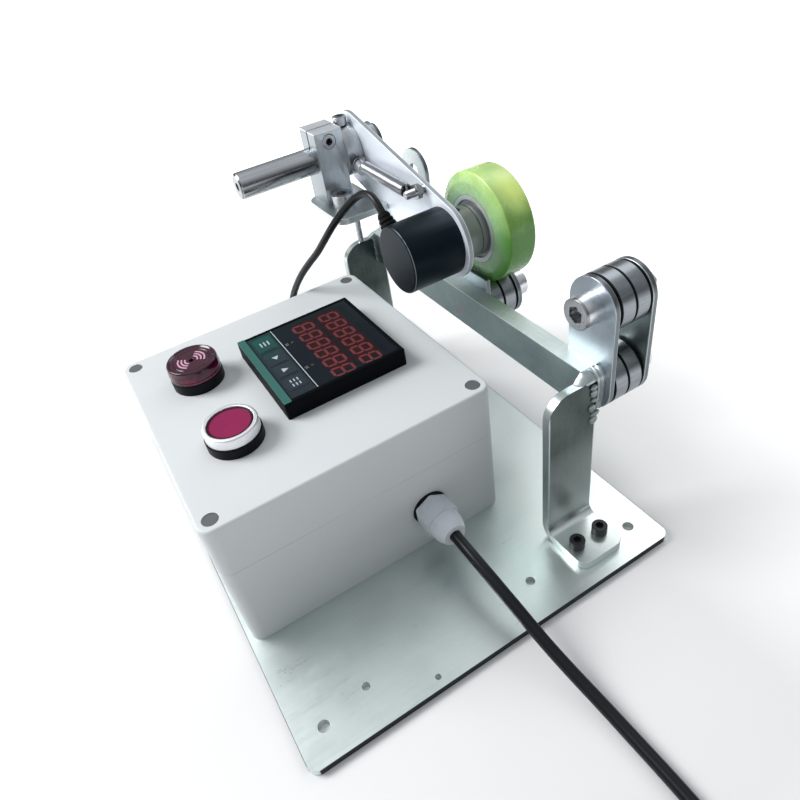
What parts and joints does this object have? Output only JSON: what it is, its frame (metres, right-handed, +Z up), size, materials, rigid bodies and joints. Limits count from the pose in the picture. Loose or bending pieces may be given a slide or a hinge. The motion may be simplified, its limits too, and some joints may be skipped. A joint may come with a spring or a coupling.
{
  "type": "cable length counter",
  "caption": "Base plate with a plastic control box and panel meter beside a welded roller frame; a sprung arm presses a measuring wheel with an encoder onto the cable path.",
  "frame": {"origin": "centre of the base plate's four mounting holes, on its underside", "axes": "+Z up from the bench, +Y along the cable's path away from the gland's side, +X from the box towards the rollers"},
  "size_m": [0.3018, 0.487, 0.1914],
  "materials": {
    "plate_steel": "zinc plated",
    "frame_steel": "zinc plated",
    "cheek_steel": "satin",
    "box_plastic": "fine grain",
    "cap_plastic": "matte",
    "meter_plastic": "satin",
    "meter_sheet": "satin film",
    "meter_window": "glossy",
    "black_plastic": "satin",
    "red_plastic": "gloss",
    "red_lens": "gloss, translucent",
    "chrome_ring": "polished",
    "zinc_screw": "zinc plated",
    "black_bolt": "oiled black",
    "bearing_steel": "ground",
    "turned_steel": "turned",
    "block_steel": "milled",
    "arm_aluminium": "satin",
    "turned_aluminium": "turned",
    "green_polyurethane": "satin, translucent",
    "encoder_black": "satin",
    "spring_wire": "bright",
    "white_nylon": "satin",
    "black_rubber": "matte",
    "cord_sheath": "satin",
    "plug_rubber": "satin"
  },
  "bodies": {
    "frame": {"base_plate": "plate_steel", "bearing_inner_rings": "bearing_steel", "bracket_plate": "block_steel", "bracket_screw": "zinc_screw", "button_base": "black_plastic", "button_bezel": "chrome_ring", "button_contact_block": "black_plastic", "button_spring": "spring_wire", "buzzer_base": "black_plastic", "buzzer_cap": "red_lens", "clamp_block": "block_steel", "clamp_screw": "black_bolt", "collar_screws": "zinc_screw", "crossbar": "frame_steel", "enclosure_base": "box_plastic", "enclosure_lid": "box_plastic", "enclosure_screws": "zinc_screw", "encoder_lead": "cord_sheath", "far_inner_cheek": "cheek_steel", "far_upright": "frame_steel", "foot_screws": "black_bolt", "gland_body": "white_nylon", "gland_gasket": "black_rubber", "gland_locknut": "white_nylon", "gland_nut": "white_nylon", "lead_grommet": "black_rubber", "lid_screw_caps": "cap_plastic", "lid_screws": "zinc_screw", "mains_coil": "cord_sheath", "mains_cord": "cord_sheath", "mains_plug": "plug_rubber", "meter_case": "meter_plastic", "meter_display": "meter_window", "meter_front_panel": "meter_sheet", "mid_inner_cheek": "cheek_steel", "near_inner_cheek": "cheek_steel", "near_upright": "frame_steel", "outer_cheeks": "cheek_steel", "panel_nuts": "black_plastic", "pivot_shaft": "turned_steel", "return_spring": "spring_wire", "roller_bolts": "zinc_screw", "roller_nuts": "zinc_screw", "roller_spacers": "bearing_steel", "spring_collar": "turned_steel", "stop_pin": "turned_steel"},
    "near_upper_roller_body": {"near_upper_roller": "bearing_steel"},
    "near_lower_roller_body": {"near_lower_roller": "bearing_steel"},
    "mid_roller_body": {"mid_roller": "bearing_steel"},
    "far_lower_roller_body": {"far_lower_roller": "bearing_steel"},
    "arm": {"arm_plate": "arm_aluminium", "arm_hub": "turned_steel", "encoder_body": "encoder_black", "encoder_boot": "black_rubber", "spring_post": "turned_steel"},
    "wheel": {"wheel_hub": "turned_aluminium", "wheel_tyre": "green_polyurethane", "encoder_shaft": "turned_steel"},
    "button": {"button_cap": "red_plastic"}
  },
  "joints": [
    {"name": "near_upper_spin", "type": "hinge", "parent": "frame", "child": "near_upper_roller_body", "pos_m": [0.103, -0.0985, 0.1385], "axis": [1, 0, 0], "continuous": true},
    {"name": "near_lower_spin", "type": "hinge", "parent": "frame", "child": "near_lower_roller_body", "pos_m": [0.103, -0.0985, 0.0945], "axis": [1, 0, 0], "continuous": true},
    {"name": "mid_spin", "type": "hinge", "parent": "frame", "child": "mid_roller_body", "pos_m": [0.103, 0, 0.0945], "axis": [1, 0, 0], "continuous": true},
    {"name": "far_lower_spin", "type": "hinge", "parent": "frame", "child": "far_lower_roller_body", "pos_m": [0.103, 0.0985, 0.0945], "axis": [1, 0, 0], "continuous": true},
    {"name": "arm_lift", "type": "hinge", "parent": "frame", "child": "arm", "pos_m": [0.077, 0.10166, 0.16944], "axis": [-1, 0, 0], "range_deg": [0, 20], "stiffness_Nm_per_rad": 0.5, "springref_deg": -20.05, "deforming": ["return_spring", "encoder_lead"]},
    {"name": "wheel_spin", "type": "hinge", "parent": "arm", "child": "wheel", "pos_m": [0.103, 0, 0.14163], "axis": [1, 0, 0], "continuous": true},
    {"name": "button_press", "type": "slide", "parent": "frame", "child": "button", "axis": [0, 0, -1], "range_m": [0, 0.003], "stiffness_N_per_m": 300, "springref_m": -0.002, "deforming": ["button_spring"]}
  ]
}
